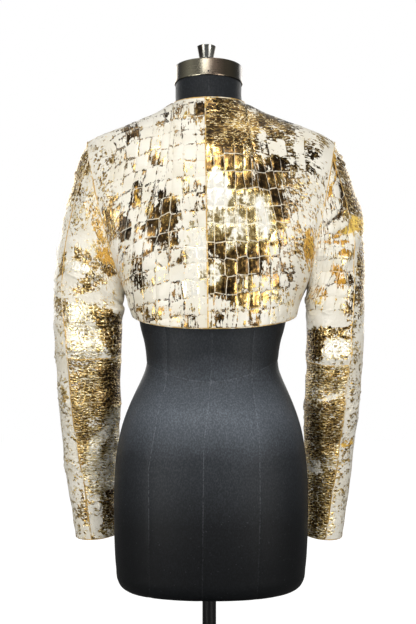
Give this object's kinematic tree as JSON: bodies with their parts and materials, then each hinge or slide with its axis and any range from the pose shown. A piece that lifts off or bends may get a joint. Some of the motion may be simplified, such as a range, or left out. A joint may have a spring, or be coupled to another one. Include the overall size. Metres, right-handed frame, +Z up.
{
  "type": "cropped leather bolero jacket on a limbless dress form with a stand",
  "caption": "Collarless cropped leather jacket with long curved sleeves, open in front, on a padded torso form with a metal neck cap, a short pole and a round base.",
  "frame": {"origin": "centre of the round base's underside, on the floor", "axes": "+Z up along the pole; the jacket's front faces -Y and its back +Y; +X is the wearer's left"},
  "size_m": [0.4995, 0.33, 1.0738],
  "materials": {
    "ivory_leather": "embossed ivory leather with a worn gold foil",
    "gold_leather": "embossed leather with a cracked antique gold foil",
    "black_jersey": "matt charcoal-black jersey over a padded shell",
    "brushed_nickel": "brushed warm nickel",
    "black_steel": "satin black paint"
  },
  "bodies": {
    "root": {"back_left": "ivory_leather", "back_right": "gold_leather", "front_left": "ivory_leather", "front_right": "ivory_leather", "outer_sleeve_left": "ivory_leather", "outer_sleeve_right": "ivory_leather", "under_sleeve_upper_left": "gold_leather", "under_sleeve_upper_right": "gold_leather", "under_sleeve_lower_left": "gold_leather", "under_sleeve_lower_right": "gold_leather", "dress_form": "black_jersey", "neck_cap": "brushed_nickel", "neck_finial": "brushed_nickel", "stand_pole": "black_steel", "stand_base": "black_steel"}
  },
  "joints": []
}
